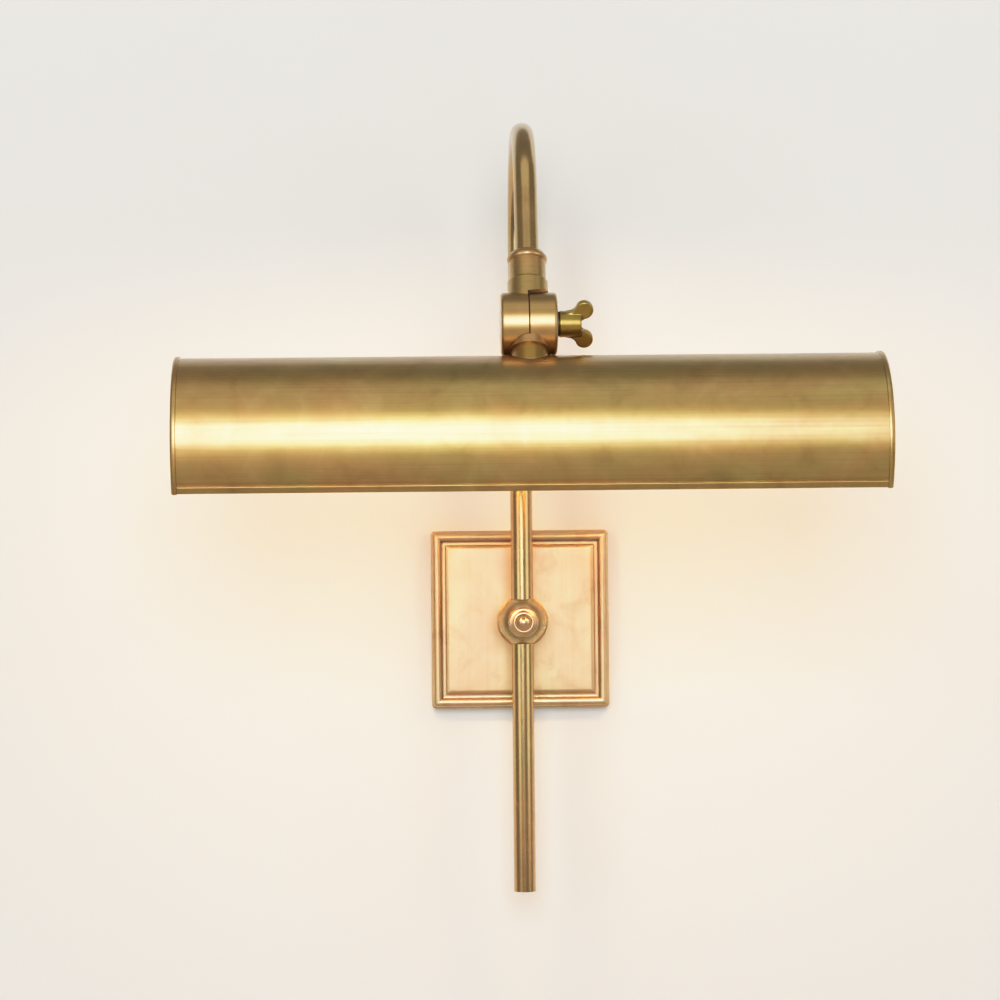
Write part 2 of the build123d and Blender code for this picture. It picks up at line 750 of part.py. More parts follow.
with BuildPart() as shade_foot:
    with BuildSketch(neck_plane.offset(foot_seat)):
        Circle(foot_radius)
    extrude(amount=foot_to_shade)
    with BuildSketch(pivot_plane.offset(inner_face)):
        Circle(barrel_radius + sweep_gap)
    extrude(amount=-2 * neck_radius, mode=Mode.SUBTRACT)
    with BuildSketch(shade_plane):
        Circle(shade_radius)
    extrude(amount=2 * neck_radius, both=True, mode=Mode.SUBTRACT)
    with BuildSketch(Plane.XY.offset(tail_bottom)):
        with Locations((0, tail_y)):
            Circle(tail_radius)
    extrude(amount=tail_top + tail_into_foot - tail_bottom)
    with BuildSketch(Plane.XY.offset(tail_bottom)):
        with Locations((0, tail_y)):
            Circle(tail_bore_radius)
    extrude(amount=tail_top + tail_bore_into_foot - tail_bottom, mode=Mode.SUBTRACT)
    with BuildSketch(neck_plane.offset(chamber_radius - lead_hole_radius)):
        with Locations((1.6 * lead_hole_radius, 0)):
            Circle(lead_hole_radius)
    extrude(amount=foot_to_shade - chamber_radius + lead_hole_radius, mode=Mode.SUBTRACT)
save(shade_foot, "shade_foot")


def arc_band(inner, outer, start, size):
    """Add the face between two arcs about the sketch's origin."""
    with BuildLine() as band:
        outside = CenterArc((0, 0), outer, start, size)
        inside = CenterArc((0, 0), inner, start, size)
        Line(outside @ 0, inside @ 0)
        Line(outside @ 1, inside @ 1)
    make_face(band.edges())


hem_turn = degrees(hem_height / shade_radius)
half_shade = shade_length / 2

with BuildPart() as shade_shell:
    with BuildSketch(shade_plane):
        arc_band(shade_bore_radius, shade_radius, shade_turn, 180)
    extrude(amount=half_shade - cap_sheet, both=True)
    with BuildSketch(shade_plane):
        arc_band(shade_bore_radius, shade_radius + hem_stand, shade_turn, hem_turn)
        arc_band(shade_bore_radius, shade_radius + hem_stand, shade_turn + 180 - hem_turn, hem_turn)
    extrude(amount=half_shade - cap_flange, both=True)
    with BuildSketch(Plane.XY.offset(shade_z)):
        with Locations((0, tail_y)):
            Circle(tail_radius + loose_gap)
    extrude(amount=2 * shade_radius, mode=Mode.SUBTRACT)
save(shade_shell, "shade_shell")

cap_radius = shade_radius + hem_stand
for side, word in ((-1, "left"), (1, "right")):
    with BuildPart() as end_cap:
        with BuildSketch(shade_plane.offset(side * half_shade)):
            with BuildLine():
                rim = CenterArc((0, 0), cap_radius, shade_turn, 180)
                Line(rim @ 1, rim @ 0)
            make_face()
        extrude(amount=-side * cap_flange)
        rim_edges = end_cap.edges().filter_by(GeomType.CIRCLE)
        fillet(rim_edges.sort_by(Axis.X)[0 if side < 0 else -1], 1.4 * cap_sheet)
        with BuildSketch(shade_plane.offset(side * (half_shade - cap_sheet))):
            Circle(shade_radius)
        extrude(amount=-side * cap_flange, mode=Mode.SUBTRACT)
    save(end_cap, "end_cap_" + word)

# ---- Inside the shade: washer, nut, lamp bracket, lampholders and bulbs --------------------------

with BuildPart() as saddle_washer:
    with BuildSketch(Plane.XY.offset(washer_bottom)):
        with Locations((0, tail_y)):
            Circle(saddle_washer_radius)
            Circle(tail_radius + loose_gap, mode=Mode.SUBTRACT)
    extrude(amount=shade_radius)
    with BuildSketch(shade_plane):
        Circle(shade_bore_radius)
    extrude(amount=shade_radius, both=True, mode=Mode.INTERSECT)
save(saddle_washer, "saddle_washer")

flange_bottom = lamp_z - 0.7 * holder_radius
bracket_height = washer_bottom - flange_bottom
bracket_plane = Plane(origin=(0, tail_y, flange_bottom), x_dir=(1, 0, 0), z_dir=(0, -1, 0))
holder_screw_pitch = holder_screw_pitch_share * holder_radius

with BuildPart() as lamp_bracket:
    with BuildSketch(bracket_plane):
        with Locations((0, bracket_height / 2)):
            Rectangle(2 * lamp_bracket_half_length, bracket_height)
        with Locations((0, bracket_height / 2 - lamp_bracket_sheet)):
            Rectangle(2 * (lamp_bracket_half_length - lamp_bracket_sheet), bracket_height, mode=Mode.SUBTRACT)
    extrude(amount=lamp_bracket_width / 2, both=True)
    with BuildSketch(Plane.XY.offset(bracket_bottom)):
        with Locations((0, tail_y)):
            Circle(tail_radius + loose_gap)
    extrude(amount=lamp_bracket_sheet, mode=Mode.SUBTRACT)
    with BuildSketch(lamp_plane.offset(-lamp_bracket_half_length)):
        Circle(holder_pocket_radius)
        with Locations((-holder_screw_pitch / 2, 0), (holder_screw_pitch / 2, 0)):
            Circle(holder_screw_radius)
    extrude(amount=2 * lamp_bracket_half_length, mode=Mode.SUBTRACT)
save(lamp_bracket, "lamp_bracket")

with BuildPart() as tail_nut_piece:
    with BuildSketch(Plane.XY.offset(tail_nut_bottom)):
        with Locations((0, tail_y)):
            RegularPolygon(tail_nut_flats / 2, 6, major_radius=False)
            Circle(tail_radius + thread_gap, mode=Mode.SUBTRACT)
    extrude(amount=tail_nut)
save(tail_nut_piece, "tail_nut")

screw_x = lamp_bracket_half_length - lamp_bracket_sheet
with BuildPart() as holder_screws:
    for side in (-1, 1):
        with BuildSketch(lamp_plane.offset(side * screw_x)):
            with Locations((-holder_screw_pitch / 2, 0), (holder_screw_pitch / 2, 0)):
                Circle(holder_screw_radius)
        extrude(amount=side * holder_screw_length)
        with BuildSketch(lamp_plane.offset(side * screw_x)):
            with Locations((-holder_screw_pitch / 2, 0), (holder_screw_pitch / 2, 0)):
                Circle(holder_screw_head * holder_screw_radius)
        extrude(amount=-side * holder_screw_head_height)
save(holder_screws, "holder_screws")

shell_inner = lamp_cap_radius + thread_gap
shell_outer = shell_inner + sleeve_shell
holder_bore = shell_outer + thread_gap
bore_start = lamp_bracket_half_length + holder_floor
holder_end = lamp_bracket_half_length + holder_length
cap_start = bore_start + lamp_cap_seat
cap_end = cap_start + lamp_cap_length
lamp_axis = Axis((0, lamp_y, lamp_z), (1, 0, 0))

for side, word in ((-1, "left"), (1, "right")):
    with BuildPart() as lampholder:
        with BuildSketch(lamp_plane.offset(side * lamp_bracket_half_length)):
            Circle(holder_radius)
        extrude(amount=side * holder_base)
        with BuildSketch(lamp_plane.offset(side * lamp_bracket_half_length)):
            Circle(holder_mouth_radius)
        extrude(amount=side * holder_length)
        with BuildSketch(lamp_plane.offset(side * bore_start)):
            Circle(holder_bore)
        extrude(amount=side * holder_length, mode=Mode.SUBTRACT)
        with BuildSketch(lamp_plane.offset(side * lamp_bracket_half_length)):
            Circle(holder_pocket_radius)
        extrude(amount=side * holder_pocket_depth, mode=Mode.SUBTRACT)
        with BuildSketch(lamp_plane.offset(side * lamp_bracket_half_length)):
            Circle(contact_pin_radius)
            with Locations((-holder_screw_pitch / 2, 0), (holder_screw_pitch / 2, 0)):
                Circle(holder_screw_radius)
        extrude(amount=side * holder_floor, mode=Mode.SUBTRACT)
    save(lampholder, "lampholder_" + word)

    with BuildPart() as socket_shell:
        with BuildSketch(lamp_plane.offset(side * cap_start)):
            Circle(shell_outer)
            Circle(shell_inner, mode=Mode.SUBTRACT)
        extrude(amount=side * (holder_end - cap_start - socket_shell_inset))
    save(socket_shell, "socket_shell_" + word)

    with BuildPart() as centre_contact:
        with BuildSketch(lamp_plane.offset(side * bore_start)):
            Circle(contact_radius)
        extrude(amount=side * contact_plate)
        with BuildSketch(lamp_plane.offset(side * (lamp_bracket_half_length + contact_pin_inset))):
            Circle(contact_pin_radius)
        extrude(amount=side * (holder_floor - contact_pin_inset))
    save(centre_contact, "centre_contact_" + word)

    with BuildPart() as bulb_cap:
        with BuildSketch(lamp_plane.offset(side * cap_start)):
            Circle(lamp_cap_radius)
        extrude(amount=side * lamp_cap_length)
        with BuildSketch(lamp_plane.offset(side * (bore_start + contact_plate))):
            Circle(lamp_tip_radius)
        extrude(amount=side * (lamp_cap_seat - contact_plate))
    save(bulb_cap, "bulb_cap_" + word)

    glass_plane = Plane(origin=(0, lamp_y, lamp_z), x_dir=(side, 0, 0), z_dir=(0, -side, 0))
    with BuildPart() as bulb:
        with BuildSketch(glass_plane):
            with BuildLine():
                neck_end = cap_end + bulb_neck
                dome_start = cap_end + bulb_length - bulb_radius
                neck = 0.92 * lamp_cap_radius
                inside = bulb_radius - bulb_glass
                inner_neck = neck - bulb_glass
                Bezier(
                    (cap_end, neck),
                    (cap_end + bulb_neck / 2, neck),
                    (cap_end + bulb_neck / 2, bulb_radius),
                    (neck_end, bulb_radius),
                )
                Line((neck_end, bulb_radius), (dome_start, bulb_radius))
                CenterArc((dome_start, 0), bulb_radius, 0, 90)
                Line((dome_start + bulb_radius, 0), (dome_start + inside, 0))
                CenterArc((dome_start, 0), inside, 0, 90)
                Line((dome_start, inside), (neck_end, inside))
                Bezier(
                    (neck_end, inside),
                    (cap_end + bulb_neck / 2, inside),
                    (cap_end + bulb_neck / 2, inner_neck),
                    (cap_end, inner_neck),
                )
                Line((cap_end, inner_neck), (cap_end, neck))
            make_face()
        revolve(axis=lamp_axis)
    save(bulb, "bulb_glass_" + word)

with BuildPart() as lamp_leads:
    for side in (-1, 1):
        for across in (-1, 1):
            start = (side * lamp_lead_spread, lamp_y + across * lamp_lead_spread, tail_top - lead_end_inset)
            corner = (side * lamp_lead_spread, lamp_y + across * lamp_lead_spread, lamp_z + lamp_lead_lift)
            end_x = side * (lamp_bracket_half_length + holder_pocket_depth - lead_end_inset)
            end = (end_x, lamp_y + across * lamp_lead_spread, lamp_z + lamp_lead_lift)
            with BuildLine() as lamp_lead_path:
                FilletPolyline(start, corner, end, radius=lamp_lead_bend)
            with BuildSketch(Plane(origin=start, x_dir=(1, 0, 0), z_dir=(0, 0, -1))):
                Circle(lamp_lead_radius)
            sweep(path=lamp_lead_path.line)
save(lamp_leads, "lamp_leads")
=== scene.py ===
import json
import math

import bmesh
import bpy
from mathutils import Matrix, Vector, noise


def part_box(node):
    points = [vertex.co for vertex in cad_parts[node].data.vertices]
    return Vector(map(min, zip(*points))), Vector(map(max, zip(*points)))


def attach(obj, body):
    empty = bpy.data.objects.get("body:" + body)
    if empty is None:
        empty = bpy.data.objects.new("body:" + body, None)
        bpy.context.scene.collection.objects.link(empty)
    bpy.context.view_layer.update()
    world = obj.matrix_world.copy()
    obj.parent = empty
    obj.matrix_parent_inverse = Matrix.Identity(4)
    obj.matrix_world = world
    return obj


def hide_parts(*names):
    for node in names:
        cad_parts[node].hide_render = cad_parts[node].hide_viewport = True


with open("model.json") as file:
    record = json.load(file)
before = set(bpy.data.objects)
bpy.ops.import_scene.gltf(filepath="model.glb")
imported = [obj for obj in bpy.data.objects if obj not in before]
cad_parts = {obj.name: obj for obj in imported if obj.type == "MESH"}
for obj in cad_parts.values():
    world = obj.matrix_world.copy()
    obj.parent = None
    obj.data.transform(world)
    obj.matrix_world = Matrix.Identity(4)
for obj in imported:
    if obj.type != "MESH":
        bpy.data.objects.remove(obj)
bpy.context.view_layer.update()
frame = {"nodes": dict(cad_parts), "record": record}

# Picture light on a wall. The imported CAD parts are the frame: each piece made here takes its place
# from a part's box, its mesh or a joint. Lengths are in metres, angles in radians unless a name says so.

MM = 0.001
nodes = frame["nodes"]
record = frame["record"]
joints = {joint["name"]: joint for joint in record["behaviour"]["joints"]}
slots = {part["node"]: part["material_slot"] for part in record["subparts"]}
scene = bpy.context.scene

# ---- Camera ------------------------------------------------------------------------------------

camera_place = Vector((-0.0630, -1.8795, 0.0605))
camera_yaw = math.radians(1.606)
camera_pitch = math.radians(0.179)
camera_roll = math.radians(0.572)

forward = Vector((
    math.sin(camera_yaw) * math.cos(camera_pitch),
    math.cos(camera_yaw) * math.cos(camera_pitch),
    math.sin(camera_pitch),
))
level_right = Vector((math.cos(camera_yaw), -math.sin(camera_yaw), 0.0))
level_up = level_right.cross(forward)
right = level_right * math.cos(camera_roll) - level_up * math.sin(camera_roll)
up = level_right * math.sin(camera_roll) + level_up * math.cos(camera_roll)
camera_data = bpy.data.cameras.new("camera")
camera_data.sensor_width = 36.0
camera_data.lens = 121.27
camera = bpy.data.objects.new("camera", camera_data)
camera.matrix_world = Matrix((
    (right.x, up.x, -forward.x, camera_place.x),
    (right.y, up.y, -forward.y, camera_place.y),
    (right.z, up.z, -forward.z, camera_place.z),
    (0.0, 0.0, 0.0, 1.0),
))
scene.collection.objects.link(camera)
scene.camera = camera

# A gentle S-shaped tone curve with a soft shoulder, so the lit wall and the highlights do not clip.
scene.view_settings.view_transform = "Standard"
scene.view_settings.use_curve_mapping = True
brightest = 6.0
tones_in_and_out = (
    (0.10, 0.066), (0.25, 0.215), (0.50, 0.515), (0.70, 0.708),
    (0.85, 0.825), (1.0, 0.893), (1.3, 0.95), (2.0, 0.982),
)
tone_mapping = scene.view_settings.curve_mapping
tone_mapping.clip_max_x = brightest
tone_mapping.clip_max_y = 1.0
tone_curve = tone_mapping.curves[3]
tone_curve.points[1].location = (brightest, 1.0)
for tone_in, tone_out in tones_in_and_out:
    tone_curve.points.new(tone_in, tone_out)
for point in tone_curve.points:
    point.handle_type = "AUTO_CLAMPED"
tone_mapping.update()

# ---- Material helpers ----------------------------------------------------------------------------

MIX_COLOUR_A, MIX_COLOUR_B, MIX_COLOUR_OUT = 6, 7, 2  # the colour sockets of a Mix node
LAMP_POWER = 27.0


class Graph:
    """A material's node tree, with short calls for the nodes that the finishes share."""

    def __init__(self, name):
        self.material = bpy.data.materials.new(name)
        self.material.use_nodes = True
        self.tree = self.material.node_tree
        self.shader = self.tree.nodes["Principled BSDF"]
        self.place = self.tree.nodes.new("ShaderNodeTexCoord").outputs["Object"]

    def put(self, socket, value):
        if isinstance(value, bpy.types.NodeSocket):
            self.tree.links.new(value, socket)
        elif isinstance(value, tuple) and len(value) == 3 and socket.type == "RGBA":
            socket.default_value = (*value, 1.0)
        else:
            socket.default_value = value

    def noise(self, scale, detail=3.0, rough=0.55, distortion=0.0, stretch=(1.0, 1.0, 1.0), seed=0.0):
        mapping = self.tree.nodes.new("ShaderNodeMapping")
        self.put(mapping.inputs["Vector"], self.place)
        mapping.inputs["Scale"].default_value = stretch
        mapping.inputs["Location"].default_value = (seed, seed * 0.7, seed * 1.3)
        texture = self.tree.nodes.new("ShaderNodeTexNoise")
        self.put(texture.inputs["Vector"], mapping.outputs["Vector"])
        texture.inputs["Scale"].default_value = scale
        texture.inputs["Detail"].default_value = detail
        texture.inputs["Roughness"].default_value = rough
        texture.inputs["Distortion"].default_value = distortion
        return texture.outputs[0]

    def spread(self, value, low, high, to_low=0.0, to_high=1.0):
        node = self.tree.nodes.new("ShaderNodeMapRange")
        self.put(node.inputs["Value"], value)
        node.inputs["From Min"].default_value = low
        node.inputs["From Max"].default_value = high
        node.inputs["To Min"].default_value = to_low
        node.inputs["To Max"].default_value = to_high
        return node.outputs[0]

    def math(self, kind, a, b):
        node = self.tree.nodes.new("ShaderNodeMath")
        node.operation = kind
        self.put(node.inputs[0], a)
        self.put(node.inputs[1], b)
        return node.outputs[0]

    def mix(self, share, a, b):
        node = self.tree.nodes.new("ShaderNodeMix")
        node.data_type = "RGBA"
        self.put(node.inputs[0], share)
        self.put(node.inputs[MIX_COLOUR_A], a)
        self.put(node.inputs[MIX_COLOUR_B], b)
        return node.outputs[MIX_COLOUR_OUT]

    def cover(self, reach, inside=False):
        """0 in the open, 1 deep in a crevice, or 1 on a sharp edge if inside is set."""
        node = self.tree.nodes.new("ShaderNodeAmbientOcclusion")
        node.samples = 6
        node.only_local = not inside
        node.inside = inside
        node.inputs["Distance"].default_value = reach
        return self.math("SUBTRACT", 1.0, node.outputs["AO"])

    def bump(self, height, distance, under=None):
        node = self.tree.nodes.new("ShaderNodeBump")
        node.inputs["Distance"].default_value = distance
        self.put(node.inputs["Height"], height)
        if under:
            self.tree.links.new(under, node.inputs["Normal"])
        return node.outputs["Normal"]

    def finish(self, colour, rough, normal=None, **fixed):
        self.put(self.shader.inputs["Base Color"], colour)
        self.put(self.shader.inputs["Roughness"], rough)
        if normal:
            self.tree.links.new(normal, self.shader.inputs["Normal"])
        for key, value in fixed.items():
            self.put(self.shader.inputs[key.replace("_", " ")], value)
        return self.material


def brushed(axis, across, along):
    """Noise stretch for brush marks that run along one axis."""
    return tuple(along if letter == axis else across for letter in "xyz")


def brass(name, axis, rough=0.30, patina_and_painted_shade=1.0, warm=0.0, grain=1.0, spin=None, lift=0.0):
    """Antique brass: brushed along one axis, clouded, dark in its crevices from patina and painted shade, and
    rubbed on its edges.
    """
    g = Graph(name)
    streak = g.noise(1.0, 4.0, 0.6, 0.0, brushed(axis, 900.0, 9.0))
    fine = g.noise(1.0, 2.0, 0.5, 0.0, brushed(axis, 3200.0, 30.0), 3.0)
    cloud = g.noise(1.0, 4.0, 0.55, 0.6, brushed(axis, 34.0, 15.0), 7.0)
    blotch = g.noise(70.0, 4.0, 0.55, 0.5, seed=11.0)
    olive = (0.435 + 0.20 * lift, 0.322 + 0.16 * lift, 0.120 + 0.17 * lift)
    brown = (0.460 + 0.04 * warm + 0.20 * lift, 0.288 + 0.15 * lift, 0.116 + 0.17 * lift)
    light = (0.600 + 0.12 * lift, 0.440 + 0.10 * lift, 0.225 + 0.12 * lift)
    tone = g.mix(g.spread(cloud, 0.36, 0.64), olive, brown)
    tone = g.mix(g.spread(blotch, 0.50, 0.72, 0.0, 0.30), tone, light)
    tone = g.mix(g.spread(streak, 0.46, 0.74, 0.0, 0.24 * grain), tone, (0.230, 0.150, 0.050))
    tone = g.mix(g.spread(blotch, 0.46, 0.28, 0.0, 0.26 * patina_and_painted_shade), tone, (0.200, 0.118, 0.040))
    # Darker in the hollows: dark patina, and painted shade in creases such as the hem's crease, the knuckle's
    # split and the collar's base.
    crevice = g.spread(g.cover(2.6 * MM), 0.30, 0.80, 0.0, 0.88 * patina_and_painted_shade)
    tone = g.mix(crevice, tone, (0.085, 0.042, 0.014))
    sharp = g.spread(g.cover(0.55 * MM, True), 0.55, 0.80)
    edge = g.math("MULTIPLY", sharp, g.spread(blotch, 0.30, 0.55, 0.3, 1.0))
    tone = g.mix(g.math("MULTIPLY", edge, 0.75), tone, (0.74, 0.58, 0.30))
    streak_rough = g.spread(streak, 0.3, 0.7, rough - 0.05 * grain, rough + 0.05 * grain)
    level = g.math("ADD", streak_rough, g.spread(cloud, 0.3, 0.7, -0.03, 0.05))
    level = g.math("ADD", level, g.math("MULTIPLY", crevice, 0.22))
    level = g.math("SUBTRACT", level, g.math("MULTIPLY", edge, 0.06))
    normal = g.bump(streak, 0.000012 * grain)
    normal = g.bump(fine, 0.000005 * grain, normal)
    normal = g.bump(blotch, 0.00003, normal)
    lacquer = {"Coat_Weight": 1.0, "Coat_Roughness": 0.24, "Coat_IOR": 1.55}
    material = g.finish(tone, level, normal, Metallic=1.0, **lacquer)
    if spin:
        tangent = g.tree.nodes.new("ShaderNodeTangent")
        tangent.direction_type = "RADIAL"
        tangent.axis = spin
        g.tree.links.new(tangent.outputs["Tangent"], g.shader.inputs["Tangent"])
        g.shader.inputs["Anisotropic"].default_value = 0.45
    return material


def plain(name, colour, second, rough, metal=0.0, scale=160.0, axis=None, depth=0.00004, **fixed):
    """A working finish: two close tones, worn roughness, a fine grain, and darker in the crevices."""
    g = Graph(name)
    stretch = brushed(axis, 6.0, 0.2) if axis else (1.0, 1.0, 1.0)
    grain = g.noise(scale, 4.0, 0.6, 0.2, stretch)
    patch = g.noise(40.0, 3.0, 0.5, 0.5, seed=5.0)
    tone = g.mix(g.spread(grain, 0.35, 0.65), colour, second)
    tone = g.mix(g.spread(patch, 0.5, 0.75, 0.0, 0.25), tone, tuple(0.6 * c for c in colour))
    # Darker in the crevices, where the occlusion mask is high.
    crevice_darkening = g.spread(g.cover(2.0 * MM), 0.35, 0.85, 0.0, 0.7)
    tone = g.mix(crevice_darkening, tone, tuple(0.25 * c for c in colour))
    worn = g.spread(grain, 0.3, 0.7, rough - 0.07, rough + 0.07)
    level = g.math("ADD", worn, g.math("MULTIPLY", crevice_darkening, 0.2))
    return g.finish(tone, level, g.bump(grain, depth), Metallic=metal, **fixed)


def lamp_glass(name):
    """Opal glass, lit from inside and a little uneven."""
    g = Graph(name)
    haze = g.noise(60.0, 3.0, 0.5, 0.3)
    tone = g.mix(g.spread(haze, 0.35, 0.65), (0.95, 0.90, 0.80), (1.0, 0.96, 0.90))
    glow = g.mix(g.spread(haze, 0.35, 0.65), (1.0, 0.50, 0.20), (1.0, 0.55, 0.24))
    material = g.finish(tone, g.spread(haze, 0.3, 0.7, 0.18, 0.30), g.bump(haze, 0.00003),
                        Emission_Strength=LAMP_POWER)
    g.put(g.shader.inputs["Emission Color"], glow)
    return material


finishes = {
    "aged_brass": brass("aged_brass", "z"),
    "plated_steel": plain("plated_steel", (0.56, 0.55, 0.51), (0.66, 0.65, 0.61), 0.34, 1.0, axis="x"),
    "phenolic": plain("phenolic", (0.030, 0.024, 0.020), (0.045, 0.036, 0.030), 0.42, depth=0.00006),
    "nylon": plain("nylon", (0.74, 0.71, 0.63), (0.80, 0.77, 0.70), 0.48, Subsurface_Weight=0.12),
    "fibre": plain("fibre", (0.12, 0.052, 0.034), (0.17, 0.08, 0.05), 0.72, scale=420.0),
    "contact_metal": plain("contact_metal", (0.60, 0.47, 0.24), (0.68, 0.56, 0.33), 0.27, 1.0),
    "lead_sleeving": plain("lead_sleeving", (0.66, 0.63, 0.56), (0.74, 0.71, 0.65), 0.38, scale=300.0),
    "opal_glass": lamp_glass("opal_glass"),
}
shade_brass = brass("shade_brass", "x", 0.36, 0.9, 0.0, 0.9, "X")
shade_inside_brass = brass("shade_inside_brass", "x", 0.36, 0.4, 0.2, 0.7)
plate_brass = brass("plate_brass", "z", 0.41, 1.0, 0.1, 0.3, lift=0.7)
rod_brass = brass("rod_brass", "z", 0.235, 0.5, 0.4, 0.2, "Z", lift=0.25)
ball_brass = brass("ball_brass", "x", 0.29, 0.8, 0.9, 0.4, lift=0.35)
knob_brass = brass("knob_brass", "y", 0.27, 0.7, 0.8, 0.2, lift=0.6)
knuckle_brass = brass("knuckle_brass", "x", 0.38, 0.4, 0.5, 0.8, lift=0.1)
collar_brass = brass("collar_brass", "z", 0.30, 0.8, 0.0, 0.6)
# Brass made darker for the wing nut and the foot: painted shade, as their faces turn from the light or stand
# in shadow.
shadow_darkened_brass = brass("shadow_darkened_brass", "y", 0.44, 1.0, 0.6, 0.2, lift=-0.4)

# ---- Mesh helpers --------------------------------------------------------------------------------

BEVEL_SEGMENTS = 3
BEVEL_FROM_DEGREES = 28.0
SHARP_DEGREES = 35.0


def add_piece(name, mesh, body, materials, replaced):
    """Put a made mesh in the place of the CAD parts it replaces."""
    piece = bpy.data.objects.new(name, mesh)
    scene.collection.objects.link(piece)
    mesh.materials.clear()
    for material in materials:
        mesh.materials.append(material)
    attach(piece, body)
    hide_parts(*replaced)


def grid_mesh(name, rings, closed_loop=False):
    """Quads between closed rings of points; the last ring joins the first if closed_loop is set."""
    count = len(rings[0])
    verts = [point for ring in rings for point in ring]
    faces = []
    spans = len(rings) if closed_loop else len(rings) - 1
    for i in range(spans):
        j = (i + 1) % len(rings)
        for k in range(count):
            m = (k + 1) % count
            faces.append((i * count + k, i * count + m, j * count + m, j * count + k))
    mesh = bpy.data.meshes.new(name)
    mesh.from_pydata(verts, [], faces)
    return mesh


def tidy_mesh(mesh, sharp_degrees=SHARP_DEGREES, ends=False):
    """Merge doubled points, close open ends if asked, face outward and shade smooth between edges."""
    work = bmesh.new()
    work.from_mesh(mesh)
    bmesh.ops.remove_doubles(work, verts=work.verts, dist=1e-7)
    if ends:
        bmesh.ops.holes_fill(work, edges=[e for e in work.edges if e.is_boundary], sides=0)
    bmesh.ops.recalc_face_normals(work, faces=work.faces)
    for face in work.faces:
        face.smooth = True
    for edge in work.edges:
        edge.smooth = not (edge.is_manifold and edge.calc_face_angle(0.0) > math.radians(sharp_degrees))
    work.to_mesh(mesh)
    work.free()
    return mesh


def finer(node, width):
    """A copy of a CAD part's mesh with its sharp edges rounded over, as finishing leaves them."""
    mesh = nodes[node].data.copy()
    work = bmesh.new()
    work.from_mesh(mesh)
    bmesh.ops.remove_doubles(work, verts=work.verts, dist=1e-6)
    bmesh.ops.dissolve_limit(work, angle_limit=math.radians(0.4), verts=work.verts, edges=work.edges)
    for face in work.faces:
        face.smooth = True
    for edge in work.edges:
        edge.smooth = True
    work.to_mesh(mesh)
    work.free()
    holder = bpy.data.objects.new(node + "_work", mesh)
    scene.collection.objects.link(holder)
    bevel = holder.modifiers.new("bevel", "BEVEL")
    bevel.width = width
    bevel.segments = BEVEL_SEGMENTS
    bevel.limit_method = "ANGLE"
    bevel.angle_limit = math.radians(BEVEL_FROM_DEGREES)
    bevel.miter_outer = "MITER_ARC"
    weighted = holder.modifiers.new("weighted", "WEIGHTED_NORMAL")
    weighted.keep_sharp = True
    graph = bpy.context.evaluated_depsgraph_get()
    result = bpy.data.meshes.new_from_object(holder.evaluated_get(graph), depsgraph=graph)
    bpy.data.objects.remove(holder)
    result.name = node + "_fine"
    return result


# ---- Carried-over parts ----------------------------------------------------------------------------

own = {
    "spring_ring": plain("blackened_steel", (0.10, 0.085, 0.07), (0.14, 0.12, 0.10), 0.42, 1.0),
    "boss_stem": ball_brass,
    "guide_sleeve": rod_brass,
    "gooseneck": rod_brass,
}
for node, piece in nodes.items():
    piece.data.materials.clear()
    piece.data.materials.append(own.get(node, finishes[slots[node]]))

# ---- Base ------------------------------------------------------------------------------------------

plate_low, plate_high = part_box("backplate")
plate_half = plate_high.x
plate_front = -plate_low.y
plate_hole = min(math.hypot(vert.co.x, vert.co.z) for vert in nodes["backplate"].data.vertices)
plate_sheet = 1.4 * MM
plate_base = 8.0 * MM
plate_panel = 9.4 * MM
plate_round = 2.2 * MM
tightest_round = 0.3 * MM
bead_foot = 8.1 * MM
bead_middle = 3.4 * MM
bead_half = 2.45 * MM
bead_fullness = 0.65
bead_steps = 14
corner_steps = 6
side_steps = 10


def plate_profile():
    """The plate's moulding from the wall to the panel: (distance in from the outer edge, height)."""
    points = [(0.0, 0.0), (0.0, 7.4 * MM), (0.10 * MM, 7.74 * MM), (0.35 * MM, 7.94 * MM)]
    points.append((0.8 * MM, 8.0 * MM))
    for i in range(bead_steps + 1):
        turn = math.pi * i / bead_steps
        rise = (plate_front - bead_foot) * math.sin(turn) ** bead_fullness
        points.append((bead_middle - bead_half * math.cos(turn), bead_foot + rise))
    points += [(6.0 * MM, 8.0 * MM), (6.6 * MM, 7.95 * MM), (7.5 * MM, 7.95 * MM), (7.9 * MM, 8.05 * MM)]
    points += [(8.02 * MM, 8.3 * MM), (8.12 * MM, 8.78 * MM), (8.35 * MM, 8.95 * MM), (9.3 * MM, 9.28 * MM)]
    points += [(9.75 * MM, 9.38 * MM)]
    points += [(distance, plate_panel) for distance in (10.4 * MM, 16.0 * MM, 26.0 * MM)]
    return points


def plate_loop(inset, height):
    """A square loop with rounded corners; the corners tighten as the loop moves in."""
    half_side = plate_half - inset
    corner_round = max(tightest_round, plate_round - inset)
    flat = half_side - corner_round
    ring = []
    for quarter in range(4):
        turn = math.pi / 2 * quarter
        bends = [math.pi / (2 * corner_steps) * i for i in range(corner_steps + 1)]
        arc = [(flat + corner_round * math.cos(bend), flat + corner_round * math.sin(bend)) for bend in bends]
        side = [(flat - 2 * flat * i / side_steps, half_side) for i in range(1, side_steps)]
        for x, z in arc + side:
            turned_x = x * math.cos(turn) - z * math.sin(turn)
            turned_z = x * math.sin(turn) + z * math.cos(turn)
            ring.append((turned_x, -height, turned_z))
    return ring


def plate_circle(radius, height):
    """A round loop with one point for each point of a plate_loop."""
    ring = []
    for x, _, z in plate_loop(0.0, 0.0):
        reach = math.hypot(x, z)
        ring.append((x / reach * radius, -height, z / reach * radius))
    return ring


